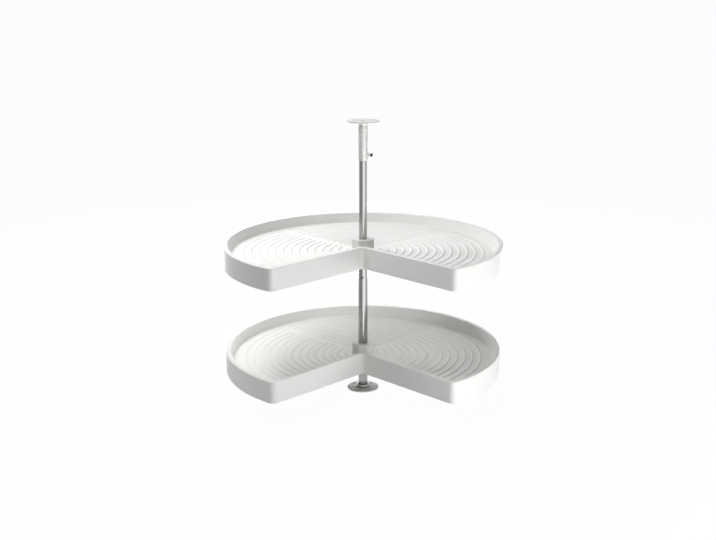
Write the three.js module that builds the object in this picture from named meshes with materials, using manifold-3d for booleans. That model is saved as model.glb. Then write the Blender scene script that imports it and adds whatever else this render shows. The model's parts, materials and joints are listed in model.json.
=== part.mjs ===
// Corner carousel fitting: two pie-cut trays that turn on a telescopic pole, between a flange
// on the cabinet's bottom and a flange under its top.
// Millimetres, +Z up. The origin is the centre of the base flange's underside and the pole is
// the Z axis. At rest the notch of both trays faces -Y.

import * as THREE from "three";
import { mergeGeometries, mergeVertices } from "three/addons/utils/BufferGeometryUtils.js";
import Module from "manifold-3d";

// ---- Clearances -------------------------------------------------------------------------

const seatGap = 0.3; // between two pieces that are fixed to each other
const runGap = 0.3; // between two pieces that turn or slide on each other

// ---- Heights above the base flange's underside ------------------------------------------

const lowerRimHeight = 131;
const traySpacing = 305; // from rim to rim
const topHeight = 772; // face of the top flange, with the pole set at rest

// ---- Flanges ----------------------------------------------------------------------------

const flangeRadius = 45;
const flangeThickness = 3;
const flangeEdge = 0.8; // chamfer of the rim
const fixingCircle = 33; // radius of the circle of wood screw holes
const fixingCount = 4;
const fixingHole = 2.6;
const fixingSink = 4.8; // radius of the countersink
const bossRadius = 18.5; // pressed boss under the pole
const bossHeight = 4.2;
const bossDraft = 1.2;

// ---- Pole -------------------------------------------------------------------------------

const poleRadius = 13; // lower pole and top sleeve
const poleWall = 1.7;
const innerPoleWall = 1.5; // upper pole, which slides in both
const innerPoleInsertion = 120; // length of the upper pole inside the lower one
const studRadius = 8;
const studHeight = 26;
const studChamfer = 1.5;
const footWasherRadius = 15;
const footWasherThickness = 2.7;
const plugLip = 1.8;
const plugLength = 24;
const poleScrewRadius = 3;
const poleScrewDrop = 104; // below the upper tray's rim
const poleScrewAngle = -99; // degrees round the pole, a little left of the front
const poleScrewProud = 0.6; // how far the screw stands out of the pole
const socketRadius = 1.6; // hexagon socket of the set screws
const socketDepth = 1.4;

// ---- Carrying rings under the hubs ------------------------------------------------------

const washerRadius = 16.6;
const washerThickness = 2.4;
const collarRadius = 21;
const collarHeight = 12;
const collarScrewRadius = 2.5;
const collarScrewAngle = 90; // degrees, at the back

// ---- Telescopic head --------------------------------------------------------------------

const sleeveLength = 94;
const sleeveOverlap = 48; // length of the upper pole inside the sleeve at rest
const neckRadius = 12.2; // neck between sleeve and flange
const neckHeight = 12;
const neckSpigot = 10; // length of the neck inside the sleeve
const neckBore = 4.5; // also the hole in the middle of the top flange
const lockHeight = 15; // above the sleeve's lower end
const lockScrewRadius = 2.5;
const lockScrewReach = 23; // far end of the screw, from the pole's axis
const lockNutRadius = 5.2;
const lockNutReach = 17;
const knobRadius = 4.5;
const knobStart = 20; // from the pole's axis
const knobLength = 6.5;
const knobChamfer = 0.8;

// ---- Trays ------------------------------------------------------------------------------

const trayRadius = 390;
const notchSetBack = 79; // from the pole's axis forward to where the notch walls meet
const outerCorner = 17.5; // rounding where the rim meets the notch wall
const innerCorner = 9; // least rounding of an inner outline there
const apexRounding = 9;
const skirtHeight = 60;
const trayWall = 3;
const rimEdge = 1.5; // chamfer of the rim's outer edge
const lipWidth = 12.5; // flat top of the double wall
const floorDepth = 28; // floor below the rim
const wallFoot = 24; // from the outside to where the slanted inner wall meets the floor
const footFillet = 4; // radius of the curve between them
const padRadius = 36; // thicker floor under the hub
const padThickness = 2;
const rootSink = 0.6; // how far beads, webs and pad go into the floor that they stand on

// Raised beads on the floor
const beadFirst = 48.6; // radius of the innermost
const beadPitch = 22.1;
const beadWidth = 4;
const beadHeight = 1.2;
const beadInset = 36; // from the outside to where the beads may start
const beadEndGap = 9; // half the plain strip between two fields of beads

// Webs under the floor
const webCount = 9;
const webSpread = 240; // degrees between the first web and the last
const webThickness = 2;
const webDepth = 9;
const ringWebRadius = 215;

// ---- Hubs -------------------------------------------------------------------------------

const octagonSides = 8;
const hubHalfWidth = 30.5; // from the axis to a flat
const hubCorner = 5;
const hubLeastCorner = 1; // of an inner outline
const hubRise = 6; // above the rim
const hubWall = 3;
const hubTop = 4; // thickness of the top plate
const hubEdge = 1;
const hubHoleGap = 0.6; // round the pole, in the top plate, which doesn't run on it
const bushRadius = 17.5;
const bushLength = 16;
const hubTubeWall = 2.6;
const spigotLength = 13; // of the hub's tube below the tray
const footBushFlange = 2;
const footBushLength = 12;
const hubScrewCircle = 26.4;
const hubScrewCount = 4;
const hubScrewFirst = 180 / octagonSides; // degrees: each screw stands in a corner
const hubScrewRadius = 1.8;
const hubScrewHead = 3.6;
const hubScrewHeadHeight = 2.4;
const hubScrewHeadRim = 1.2; // height of the head's straight rim
const hubScrewHeadFace = 2.5; // radius of the head's flat end
const hubScrewBite = 13; // length inside the hub
const hubBossWall = 1.4;

// ---- Fineness of the curved surfaces ----------------------------------------------------

const turnedSides = 24;
const screwSides = 8;
const knobSides = 16;
const hexagonSides = 6;
const rimSteps = 44; // along the tray's round edge
const cornerSteps = 4;
const apexSteps = 4;
const hubCornerSteps = 2;
const filletSteps = 3;
const barStep = 75; // longest straight stretch of a curved bar
const leastBarSteps = 3;
const overCut = 1; // how far a cutting body reaches past the face it cuts

// ---- Places that follow from the sizes --------------------------------------------------

const upperRimHeight = lowerRimHeight + traySpacing;
const bossTop = flangeThickness + bossHeight;
const footWasherTop = bossTop + seatGap + footWasherThickness;
const plugBottom = footWasherTop + seatGap;
const poleBottom = plugBottom + plugLip + seatGap;
const poleBore = poleRadius - poleWall;
const innerPoleRadius = poleBore - runGap;
const hubBore = bushRadius + seatGap;
const hubTubeRadius = hubBore + hubTubeWall;
const trayUnderside = floorDepth + trayWall; // below the rim
const padUnderside = trayUnderside + padThickness;
const spigotEnd = padUnderside + spigotLength; // below the rim
const topBushTop = hubRise - hubTop - seatGap; // above the rim
const topBushBottom = topBushTop - bushLength;
const upperWasherTop = upperRimHeight + topBushBottom - runGap;
const poleTop = upperWasherTop - washerThickness - seatGap;
const footBushBottom = -spigotEnd - seatGap - footBushFlange; // against the rim
const lowerWasherTop = lowerRimHeight + footBushBottom - runGap;
const collarTop = lowerWasherTop - washerThickness - seatGap;
const topFlangeBottom = topHeight - flangeThickness;
const neckTop = topFlangeBottom - seatGap;
const neckShoulder = neckTop - neckHeight;
const sleeveTop = neckShoulder - seatGap;
const sleeveBottom = sleeveTop - sleeveLength;
const innerPoleTop = sleeveBottom + sleeveOverlap;
const innerPoleBottom = poleTop - innerPoleInsertion;
const lockCentre = sleeveBottom + lockHeight;
const poleScrewHeight = upperRimHeight - poleScrewDrop;
const collarScrewHeight = collarTop - collarHeight / 2;

// ---- Finishes ---------------------------------------------------------------------------

const finish = (color, roughness, metalness) => ({ color, roughness, metalness });
const trayPlastic = finish(0xf3f3f1, 0.45, 0);
const hubPlastic = finish(0xf0f0ee, 0.5, 0);
const bearingPlastic = finish(0xe3e2dc, 0.4, 0);
const platedTube = finish(0xc9c9c7, 0.22, 1);
const satinTube = finish(0xcfcfcd, 0.38, 1);
const pressedSteel = finish(0xb4b4b2, 0.42, 1);
const screwSteel = finish(0x6a6a6c, 0.4, 1);
const blackPlastic = finish(0x141414, 0.5, 0);

const carousel = new THREE.Group();

function place(parent, name, geometry, look) {
  const mesh = new THREE.Mesh(geometry, new THREE.MeshStandardMaterial(look));
  mesh.name = name;
  parent.add(mesh);
  return mesh;
}

// ---- Solids -----------------------------------------------------------------------------

const wasm = await Module();
wasm.setup();

const weld = 1e-4;

function bare(geometry) {
  const copy = geometry.index ? geometry.toNonIndexed() : geometry.clone();
  copy.deleteAttribute("normal");
  copy.deleteAttribute("uv");
  return copy;
}

function solid(...geometries) {
  const merged = mergeVertices(mergeGeometries(geometries.map(bare)), weld);
  const vertProperties = new Float32Array(merged.attributes.position.array);
  const triVerts = new Uint32Array(merged.index.array);
  return new wasm.Manifold(new wasm.Mesh({ numProp: 3, vertProperties, triVerts }));
}

function surface(body) {
  const mesh = body.getMesh();
  const geometry = new THREE.BufferGeometry();
  geometry.setAttribute("position", new THREE.BufferAttribute(mesh.vertProperties, 3));
  geometry.setIndex(new THREE.BufferAttribute(mesh.triVerts, 1));
  geometry.computeVertexNormals();
  return geometry;
}

const cut = (body, ...tools) => tools.reduce((left, tool) => left.subtract(tool), body);
const join = (body, ...others) => others.reduce((sum, other) => sum.add(other), body);

const radians = THREE.MathUtils.degToRad;

// A turned piece: the profile's [radius, height] points run anticlockwise round the section.
function turned(profile, sides = turnedSides) {
  const points = profile.map(([radius, height]) => new THREE.Vector2(radius, height));
  return new THREE.LatheGeometry(points, sides).rotateX(Math.PI / 2);
}

function disc(radius, bottom, top, sides = turnedSides) {
  return turned([[0, bottom], [radius, bottom], [radius, top], [0, top]], sides);
}

function ring(outer, inner, bottom, top) {
  return turned([[inner, bottom], [outer, bottom], [outer, top], [inner, top], [inner, bottom]]);
}

// Copies of a piece that stands at a given radius, spaced evenly round the pole's axis.
function around(count, radius, firstAngle, make) {
  return Array.from({ length: count }, (_, index) => {
    const angle = radians(firstAngle + (360 * index) / count);
    return make().translate(radius * Math.cos(angle), radius * Math.sin(angle), 0);
  });
}

// Lays an upright piece down, so that its height runs outwards from the pole at an angle.
function layOutwards(geometry, angle, height) {
  return geometry.rotateY(Math.PI / 2).rotateZ(radians(angle)).translate(0, 0, height);
}

// A set screw: its outer end has a hexagon socket.
function setScrew(radius, from, to, angle, height) {
  const shank = solid(disc(radius, from, to, screwSides));
  const socket = solid(disc(socketRadius, to - socketDepth, to + overCut, hexagonSides));
  return layOutwards(surface(cut(shank, socket)), angle, height);
}

function screwBore(radius, from, to, angle, height) {
  return solid(layOutwards(disc(radius + seatGap, from, to, screwSides), angle, height));
}

// An outline is a function of its inset that always gives the same number of points, so two
// insets of it can be joined by a wall. Stations are [inset, height] pairs from the bottom up.
function loft(outline, stations) {
  const rings = stations.map(([inset]) => outline(inset));
  const count = rings[0].length;
  const positions = rings.flatMap((points, level) =>
    points.flatMap((point) => [point.x, point.y, stations[level][1]])
  );
  const faces = [];
  for (let level = 0; level < rings.length - 1; level += 1) {
    for (let index = 0; index < count; index += 1) {
      const next = (index + 1) % count;
      const [a, b] = [level * count + index, level * count + next];
      faces.push(a, b, b + count, a, b + count, a + count);
    }
  }
  const last = (rings.length - 1) * count;
  const floor = THREE.ShapeUtils.triangulateShape(rings[0], []);
  const roof = THREE.ShapeUtils.triangulateShape(rings[rings.length - 1], []);
  floor.forEach(([a, b, c]) => faces.push(a, c, b));
  roof.forEach(([a, b, c]) => faces.push(last + a, last + b, last + c));
  const geometry = new THREE.BufferGeometry();
  geometry.setAttribute("position", new THREE.Float32BufferAttribute(positions, 3));
  geometry.setIndex(faces);
  return geometry;
}

function arc(centre, radius, from, to, steps) {
  return Array.from({ length: steps + 1 }, (_, index) => {
    const angle = from + ((to - from) * index) / steps;
    return new THREE.Vector2(
      centre.x + radius * Math.cos(angle),
      centre.y + radius * Math.sin(angle)
    );
  });
}

// ---- Tray -------------------------------------------------------------------------------

const diagonal = Math.SQRT1_2;

// Where a rounding of the given radius touches both the notch wall and the round edge, on
// the right side, with both moved into the tray by the inset.
function cornerCentre(inset, radius) {
  const apex = new THREE.Vector2(0, -notchSetBack + inset / diagonal);
  const along = new THREE.Vector2(diagonal, -diagonal);
  const inwards = new THREE.Vector2(diagonal, diagonal);
  const start = apex.clone().addScaledVector(inwards, radius);
  const reach = trayRadius - inset - radius;
  const half = start.dot(along);
  const run = -half + Math.sqrt(half * half - start.lengthSq() + reach * reach);
  return start.addScaledVector(along, run);
}

// The tray seen from above, anticlockwise from the notch's tip: three quarters of a disc.
function trayOutline(inset) {
  const radius = Math.max(outerCorner - inset, innerCorner);
  const right = cornerCentre(inset, radius);
  const left = new THREE.Vector2(-right.x, right.y);
  const rimStart = Math.atan2(right.y, right.x);
  const tip = new THREE.Vector2(0, -notchSetBack - apexRounding / diagonal);
  const quarter = Math.PI / 4;
  return [
    ...arc(tip, apexRounding + inset, 2 * quarter, quarter, apexSteps / 2),
    ...arc(right, radius, -3 * quarter, rimStart, cornerSteps),
    ...arc({ x: 0, y: 0 }, trayRadius - inset, rimStart, Math.PI - rimStart, rimSteps).slice(1, -1),
    ...arc(left, radius, Math.PI - rimStart, 7 * quarter, cornerSteps),
    ...arc(tip, apexRounding + inset, 3 * quarter, 2 * quarter, apexSteps / 2).slice(0, -1),
  ];
}

// Inner face of the wall, from the floor up: a curve that starts flat, and the slanted stretch
// that it runs into. The thickness moves both square to the face, towards the outside.
function bowlStations(rim, thickness, top) {
  const lean = (wallFoot - lipWidth) / floorDepth; // inwards per unit of depth
  const slant = Math.hypot(lean, 1);
  const centreInset = wallFoot + footFillet * (slant - lean);
  const radius = footFillet + thickness;
  const sweep = Math.atan2(1, lean);
  const stations = [];
  for (let step = 0; step <= filletSteps; step += 1) {
    const angle = (sweep * step) / filletSteps;
    const height = rim - floorDepth + footFillet - radius * Math.cos(angle);
    stations.push([centreInset - radius * Math.sin(angle), height]);
  }
  stations.push([lipWidth - (top - rim) * lean - thickness * slant, top]);
  return stations;
}

// Half angle that a width takes at a radius.
const halfAngle = (halfWidth, radius) => Math.asin(halfWidth / radius);

// Carries a section round the pole's axis through an arc. The section's [radius, height]
// points run anticlockwise, as a turned profile's do.
function arcBar(section, from, to) {
  const reach = section[0][0];
  const steps = Math.max(leastBarSteps, Math.round((reach * (to - from)) / barStep));
  const sides = section.length;
  const positions = [];
  const faces = [];
  for (let step = 0; step <= steps; step += 1) {
    const angle = from + ((to - from) * step) / steps;
    section.forEach(([radius, height]) => {
      positions.push(radius * Math.cos(angle), radius * Math.sin(angle), height);
    });
  }
  for (let step = 0; step < steps; step += 1) {
    for (let side = 0; side < sides; side += 1) {
      const next = (side + 1) % sides;
      const [a, b] = [step * sides + side, step * sides + next];
      faces.push(a, b + sides, b, a, a + sides, b + sides);
    }
  }
  const last = steps * sides;
  for (let side = 1; side < sides - 1; side += 1) {
    faces.push(0, side, side + 1, last, last + side + 1, last + side);
  }
  const geometry = new THREE.BufferGeometry();
  geometry.setAttribute("position", new THREE.Float32BufferAttribute(positions, 3));
  geometry.setIndex(faces);
  return geometry;
}

// Three fields of round beads: right, back and left, with a plain strip along each diagonal.
function beads(rim) {
  const floor = rim - floorDepth;
  const bars = [];
  const edge = trayRadius - beadInset;
  const wallOffset = beadInset - notchSetBack * diagonal;
  for (let radius = beadFirst; radius < edge; radius += beadPitch) {
    const gap = halfAngle(beadEndGap, radius);
    const start = Math.PI / 4 - Math.acos(wallOffset / radius);
    const fields = [
      [start, Math.PI / 4 - gap],
      [Math.PI / 4 + gap, (3 * Math.PI) / 4 - gap],
      [(3 * Math.PI) / 4 + gap, Math.PI - start],
    ];
    const ridge = [
      [radius - beadWidth / 2, floor - rootSink],
      [radius + beadWidth / 2, floor - rootSink],
      [radius, floor + beadHeight],
    ];
    fields.forEach(([from, to]) => bars.push(arcBar(ridge, from, to)));
  }
  return bars;
}

function webs(rim) {
  const top = rim - trayUnderside + rootSink;
  const bottom = rim - trayUnderside - webDepth;
  const inner = padRadius - overCut;
  const outer = trayRadius - trayWall + overCut;
  const spokes = Array.from({ length: webCount }, (_, index) => {
    const angle = 90 - webSpread / 2 + (webSpread * index) / (webCount - 1);
    const bar = new THREE.BoxGeometry(outer - inner, webThickness, top - bottom);
    bar.translate((outer + inner) / 2, 0, (top + bottom) / 2);
    return solid(bar.rotateZ(radians(angle)));
  });
  const sweep = radians(webSpread / 2) + halfAngle(webThickness, ringWebRadius);
  const [near, far] = [ringWebRadius - webThickness / 2, ringWebRadius + webThickness / 2];
  const section = [[near, bottom], [far, bottom], [far, top], [near, top]];
  const circle = solid(arcBar(section, Math.PI / 2 - sweep, Math.PI / 2 + sweep));
  return join(circle, ...spokes);
}

function tray(rim) {
  const bottom = rim - skirtHeight;
  const outerStations = [[0, bottom], [0, rim - rimEdge], [rimEdge, rim]];
  const underStations = [[trayWall, bottom - overCut], [trayWall, rim - trayWall]];
  const outside = solid(loft(trayOutline, outerStations));
  const under = solid(loft(trayOutline, underStations));
  const shell = solid(loft(trayOutline, bowlStations(rim, trayWall, rim)));
  const hollow = solid(loft(trayOutline, bowlStations(rim, 0, rim + overCut)));
  const pad = solid(disc(padRadius, rim - padUnderside, rim - trayUnderside + rootSink));
  const hubHole = solid(disc(hubTubeRadius + seatGap, rim - padUnderside - overCut, rim));
  const screwHoles = solid(
    ...around(hubScrewCount, hubScrewCircle, hubScrewFirst, () =>
      disc(hubScrewRadius + seatGap, rim - padUnderside - overCut, rim, screwSides)
    )
  );
  const body = cut(join(outside.subtract(under.subtract(shell)), webs(rim), pad), hollow);
  return surface(cut(join(body, solid(...beads(rim))), hubHole, screwHoles));
}

// ---- Hub --------------------------------------------------------------------------------

function hubOutline(inset) {
  const half = hubHalfWidth - inset;
  const radius = Math.max(hubCorner - inset, hubLeastCorner);
  const turn = Math.PI / octagonSides;
  const reach = (half - radius) / Math.cos(turn);
  const corners = Array.from({ length: octagonSides }, (_, index) => {
    const angle = (2 * index + 1) * turn;
    const centre = { x: reach * Math.cos(angle), y: reach * Math.sin(angle) };
    return arc(centre, radius, angle - turn, angle + turn, hubCornerSteps);
  });
  return corners.flat();
}

// A hollow octagonal block: its tube runs down through the tray and holds two bushes.
function hub(rim, shaftAtTop) {
  const floor = rim - floorDepth + beadHeight + seatGap;
  const top = rim + hubRise;
  const roof = top - hubTop;
  const block = solid(loft(hubOutline, [[0, floor], [0, top - hubEdge], [hubEdge, top]]));
  const inside = solid(loft(hubOutline, [[hubWall, floor - overCut], [hubWall, roof]]));
  const tube = solid(disc(hubTubeRadius, rim - spigotEnd, roof + overCut));
  const screwBoreRadius = hubScrewRadius + seatGap;
  const screwBoreEnd = rim - floorDepth + hubScrewBite + seatGap;
  const bosses = around(hubScrewCount, hubScrewCircle, hubScrewFirst, () =>
    disc(screwBoreRadius + hubBossWall, floor, roof + overCut, screwSides)
  );
  const bores = around(hubScrewCount, hubScrewCircle, hubScrewFirst, () =>
    disc(screwBoreRadius, floor - overCut, screwBoreEnd, screwSides)
  );
  const bore = solid(disc(hubBore, rim - spigotEnd - overCut, roof));
  const hole = solid(disc(shaftAtTop + hubHoleGap, roof - overCut, top + overCut));
  const body = join(block.subtract(inside), tube, solid(...bosses));
  return surface(cut(body, bore, hole, solid(...bores)));
}

function hubScrew(rim) {
  const seat = rim - padUnderside - seatGap;
  const tip = rim - floorDepth + hubScrewBite;
  const profile = [
    [0, seat - hubScrewHeadHeight],
    [hubScrewHeadFace, seat - hubScrewHeadHeight],
    [hubScrewHead, seat - hubScrewHeadRim],
    [hubScrewHead, seat],
    [hubScrewRadius, seat],
    [hubScrewRadius, tip - hubScrewRadius],
    [0, tip],
  ];
  return turned(profile, screwSides);
}

// Flanged bush in the lower end of the hub's tube, running on the lower pole.
function footBush(rim, shaft) {
  const bottom = rim + footBushBottom;
  const shoulder = bottom + footBushFlange;
  const bore = shaft + runGap;
  return turned([
    [bore, bottom],
    [hubTubeRadius, bottom],
    [hubTubeRadius, shoulder],
    [bushRadius, shoulder],
    [bushRadius, shoulder + footBushLength],
    [bore, shoulder + footBushLength],
    [bore, bottom],
  ]);
}

function traySet(prefix, rim, shaftAtTop) {
  const set = new THREE.Group();
  place(set, `${prefix}_tray`, tray(rim), trayPlastic);
  place(set, `${prefix}_hub`, hub(rim, shaftAtTop), hubPlastic);
  const topBush = ring(bushRadius, shaftAtTop + runGap, rim + topBushBottom, rim + topBushTop);
  place(set, `${prefix}_hub_top_bush`, topBush, bearingPlastic);
  place(set, `${prefix}_hub_foot_bush`, footBush(rim, poleRadius), bearingPlastic);
  const screws = around(hubScrewCount, hubScrewCircle, hubScrewFirst, () => hubScrew(rim));
  screws.forEach((screw, index) => {
    place(set, `${prefix}_hub_screw_${index + 1}`, screw, screwSteel);
  });
  carousel.add(set);
}

// ---- Flanges ----------------------------------------------------------------------------

function fixingHoles(bottom, top, sinkAtTop) {
  const slope = fixingSink - fixingHole;
  const low = bottom - overCut;
  const high = top + overCut;
  const lowRadius = sinkAtTop ? fixingHole : fixingSink;
  const highRadius = sinkAtTop ? fixingSink : fixingHole;
  const sunk = [
    [0, low],
    [lowRadius, low],
    [lowRadius, sinkAtTop ? top - slope : bottom],
    [highRadius, sinkAtTop ? top : bottom + slope],
    [highRadius, high],
    [0, high],
  ];
  const first = 180 / fixingCount;
  return solid(...around(fixingCount, fixingCircle, first, () => turned(sunk, screwSides)));
}

function baseFlange() {
  const plate = turned([
    [0, 0],
    [flangeRadius, 0],
    [flangeRadius, flangeThickness - flangeEdge],
    [flangeRadius - flangeEdge, flangeThickness],
    [bossRadius + bossDraft, flangeThickness],
    [bossRadius, flangeThickness + bossDraft],
    [bossRadius, bossTop - flangeEdge],
    [bossRadius - flangeEdge, bossTop],
    [0, bossTop],
  ]);
  return surface(cut(solid(plate), fixingHoles(0, flangeThickness, true)));
}

function topFlange() {
  const plate = turned([
    [neckBore, topFlangeBottom],
    [flangeRadius - flangeEdge, topFlangeBottom],
    [flangeRadius, topFlangeBottom + flangeEdge],
    [flangeRadius, topHeight],
    [neckBore, topHeight],
    [neckBore, topFlangeBottom],
  ]);
  return surface(cut(solid(plate), fixingHoles(topFlangeBottom, topHeight, false)));
}

// ---- Pole -------------------------------------------------------------------------------

function baseStud() {
  const bottom = bossTop + seatGap;
  const top = bottom + studHeight;
  return turned([
    [0, bottom],
    [studRadius, bottom],
    [studRadius, top - studChamfer],
    [studRadius - studChamfer, top],
    [0, top],
  ]);
}

function footPlug() {
  const bore = studRadius + seatGap;
  const shoulder = plugBottom + plugLip;
  const body = poleBore - seatGap;
  return turned([
    [bore, plugBottom],
    [poleRadius, plugBottom],
    [poleRadius, shoulder],
    [body, shoulder],
    [body, shoulder + plugLength],
    [bore, shoulder + plugLength],
    [bore, plugBottom],
  ]);
}

function lowerPole() {
  const tube = solid(ring(poleRadius, poleBore, poleBottom, poleTop));
  const hole = screwBore(
    poleScrewRadius, innerPoleRadius, poleRadius + overCut, poleScrewAngle, poleScrewHeight
  );
  return surface(cut(tube, hole));
}

function lowerCollar() {
  const body = ring(collarRadius, poleRadius + seatGap, collarTop - collarHeight, collarTop);
  const hole = screwBore(
    collarScrewRadius, poleBore, collarRadius + overCut, collarScrewAngle, collarScrewHeight
  );
  return surface(cut(solid(body), hole));
}

function buildPole() {
  const pole = new THREE.Group();
  place(pole, "base_flange", baseFlange(), pressedSteel);
  place(pole, "base_stud", baseStud(), pressedSteel);
  const footWasher = ring(
    footWasherRadius, studRadius + seatGap, bossTop + seatGap, footWasherTop
  );
  place(pole, "foot_washer", footWasher, bearingPlastic);
  place(pole, "foot_plug", footPlug(), blackPlastic);
  place(pole, "lower_pole", lowerPole(), platedTube);
  const innerPoleBore = innerPoleRadius - innerPoleWall;
  const innerPole = ring(innerPoleRadius, innerPoleBore, innerPoleBottom, innerPoleTop);
  place(pole, "upper_pole", innerPole, platedTube);
  const poleScrew = setScrew(
    poleScrewRadius, innerPoleRadius + seatGap, poleRadius + poleScrewProud,
    poleScrewAngle, poleScrewHeight
  );
  place(pole, "pole_lock_screw", poleScrew, screwSteel);
  place(pole, "lower_collar", lowerCollar(), pressedSteel);
  const collarScrew = setScrew(
    collarScrewRadius, poleRadius + seatGap, collarRadius, collarScrewAngle, collarScrewHeight
  );
  place(pole, "lower_collar_screw", collarScrew, screwSteel);
  const lowerWasher = ring(
    washerRadius, poleRadius + seatGap, lowerWasherTop - washerThickness, lowerWasherTop
  );
  place(pole, "lower_thrust_washer", lowerWasher, bearingPlastic);
  const upperWasher = ring(
    washerRadius, innerPoleRadius + seatGap, upperWasherTop - washerThickness, upperWasherTop
  );
  place(pole, "upper_thrust_washer", upperWasher, bearingPlastic);
  carousel.add(pole);
}

// ---- Telescopic head --------------------------------------------------------------------

function topNeck() {
  const spigot = poleBore - seatGap;
  return turned([
    [neckBore, neckShoulder - neckSpigot],
    [spigot, neckShoulder - neckSpigot],
    [spigot, neckShoulder],
    [neckRadius, neckShoulder],
    [neckRadius, neckTop],
    [neckBore, neckTop],
    [neckBore, neckShoulder - neckSpigot],
  ]);
}

function topSleeve() {
  const tube = solid(ring(poleRadius, poleBore, sleeveBottom, sleeveTop));
  const hole = screwBore(lockScrewRadius, innerPoleRadius, poleRadius + overCut, 0, lockCentre);
  return surface(cut(tube, hole));
}

// Hexagon nut welded to the sleeve, hollowed to its curve.
function lockNut() {
  const hexagon = disc(lockNutRadius, poleBore, lockNutReach, hexagonSides);
  const bore = screwBore(lockScrewRadius, innerPoleRadius, lockNutReach + overCut, 0, lockCentre);
  const reach = lockNutRadius + overCut;
  const curve = solid(disc(poleRadius + seatGap, lockCentre - reach, lockCentre + reach));
  return surface(cut(solid(layOutwards(hexagon, 0, lockCentre)), bore, curve));
}

function lockKnob() {
  const end = knobStart + knobLength;
  const bore = lockScrewRadius + seatGap;
  const depth = lockScrewReach + seatGap;
  const profile = [
    [bore, knobStart],
    [knobRadius, knobStart],
    [knobRadius, end - knobChamfer],
    [knobRadius - knobChamfer, end],
    [0, end],
    [0, depth],
    [bore, depth],
    [bore, knobStart],
  ];
  return layOutwards(turned(profile, knobSides), 0, lockCentre);
}

function buildHead() {
  const head = new THREE.Group();
  place(head, "top_sleeve", topSleeve(), satinTube);
  place(head, "top_neck", topNeck(), satinTube);
  place(head, "top_flange", topFlange(), pressedSteel);
  place(head, "lock_nut", lockNut(), pressedSteel);
  const screw = disc(lockScrewRadius, innerPoleRadius + seatGap, lockScrewReach, screwSides);
  place(head, "lock_screw", layOutwards(screw, 0, lockCentre), pressedSteel);
  place(head, "lock_knob", lockKnob(), blackPlastic);
  carousel.add(head);
}

buildPole();
traySet("lower", lowerRimHeight, poleRadius);
traySet("upper", upperRimHeight, innerPoleRadius);
buildHead();

export default carousel;
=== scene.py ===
"""Corner carousel fitting: two ribbed pie-cut trays on a telescopic pole.

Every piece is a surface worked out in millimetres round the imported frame, whose Z axis is the
pole, and put into a mesh in metres. The notch of both trays faces -Y, as the camera sees it.
"""

import json
import math

import bmesh
import bpy
import numpy as np
from mathutils.geometry import tessellate_polygon
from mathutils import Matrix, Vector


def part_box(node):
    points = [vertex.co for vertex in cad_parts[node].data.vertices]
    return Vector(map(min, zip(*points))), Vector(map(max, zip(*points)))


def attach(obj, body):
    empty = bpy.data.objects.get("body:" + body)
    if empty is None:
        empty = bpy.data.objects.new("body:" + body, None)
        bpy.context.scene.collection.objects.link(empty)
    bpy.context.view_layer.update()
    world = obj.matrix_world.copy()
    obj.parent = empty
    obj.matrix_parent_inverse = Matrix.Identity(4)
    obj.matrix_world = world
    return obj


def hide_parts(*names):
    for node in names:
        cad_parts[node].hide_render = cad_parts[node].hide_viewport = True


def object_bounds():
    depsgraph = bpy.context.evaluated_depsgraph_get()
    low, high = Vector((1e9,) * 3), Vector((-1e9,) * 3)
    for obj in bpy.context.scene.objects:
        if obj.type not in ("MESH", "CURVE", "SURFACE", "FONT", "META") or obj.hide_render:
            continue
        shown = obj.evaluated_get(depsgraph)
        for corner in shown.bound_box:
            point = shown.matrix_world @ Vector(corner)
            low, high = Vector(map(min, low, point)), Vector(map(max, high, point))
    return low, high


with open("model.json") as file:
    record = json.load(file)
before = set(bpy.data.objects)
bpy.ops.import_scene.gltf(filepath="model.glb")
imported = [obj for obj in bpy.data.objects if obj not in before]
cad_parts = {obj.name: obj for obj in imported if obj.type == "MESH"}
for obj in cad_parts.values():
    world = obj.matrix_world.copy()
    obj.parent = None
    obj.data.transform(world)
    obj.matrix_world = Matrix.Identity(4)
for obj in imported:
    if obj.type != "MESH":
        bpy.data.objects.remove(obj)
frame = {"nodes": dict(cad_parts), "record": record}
cad_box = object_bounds()

MM = 0.001


def show(name, data):
    """Puts a new object into the scene."""
    shown = bpy.data.objects.new(name, data)
    bpy.context.scene.collection.objects.link(shown)
    return shown


# ---- Camera ----

PICTURE_WIDTH = 716
CAMERA_PLACE = (0.0, -2.940, 1.1375)
CAMERA_PITCH = 15.0  # degrees below the horizon
CAMERA_LENS = 54.29
SENSOR_WIDTH = 36.0
OBJECT_RIGHT_OF_MIDDLE = 5.0  # pixels
OBJECT_BELOW_MIDDLE = 0.5
CAMERA_SIGHT = 1000.0  # metres


def make_camera():
    data = bpy.data.cameras.new("camera")
    data.sensor_fit = "HORIZONTAL"
    data.sensor_width = SENSOR_WIDTH
    data.lens = CAMERA_LENS
    data.shift_x = -OBJECT_RIGHT_OF_MIDDLE / PICTURE_WIDTH
    data.shift_y = OBJECT_BELOW_MIDDLE / PICTURE_WIDTH
    data.clip_end = CAMERA_SIGHT
    camera = show("camera", data)
    camera.location = CAMERA_PLACE
    camera.rotation_euler = (math.radians(90.0 - CAMERA_PITCH), 0.0, 0.0)
    bpy.context.scene.camera = camera


make_camera()
bpy.context.scene.view_settings.view_transform = "Standard"

# ---- What the frame gives ----

BODY_OF = {
    node: body for body, nodes in frame["record"]["behaviour"]["bodies"].items() for node in nodes
}
SLOT_OF = {row["node"]: row["material_slot"] for row in frame["record"]["subparts"]}


def span(node):
    """Lowest and highest corner of a CAD node, in millimetres."""
    low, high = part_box(node)
    return np.array(low) / MM, np.array(high) / MM


def heights(node):
    """Lowest and highest point of a CAD node above the base, in millimetres."""
    low, high = span(node)
    return low[2], high[2]


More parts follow.
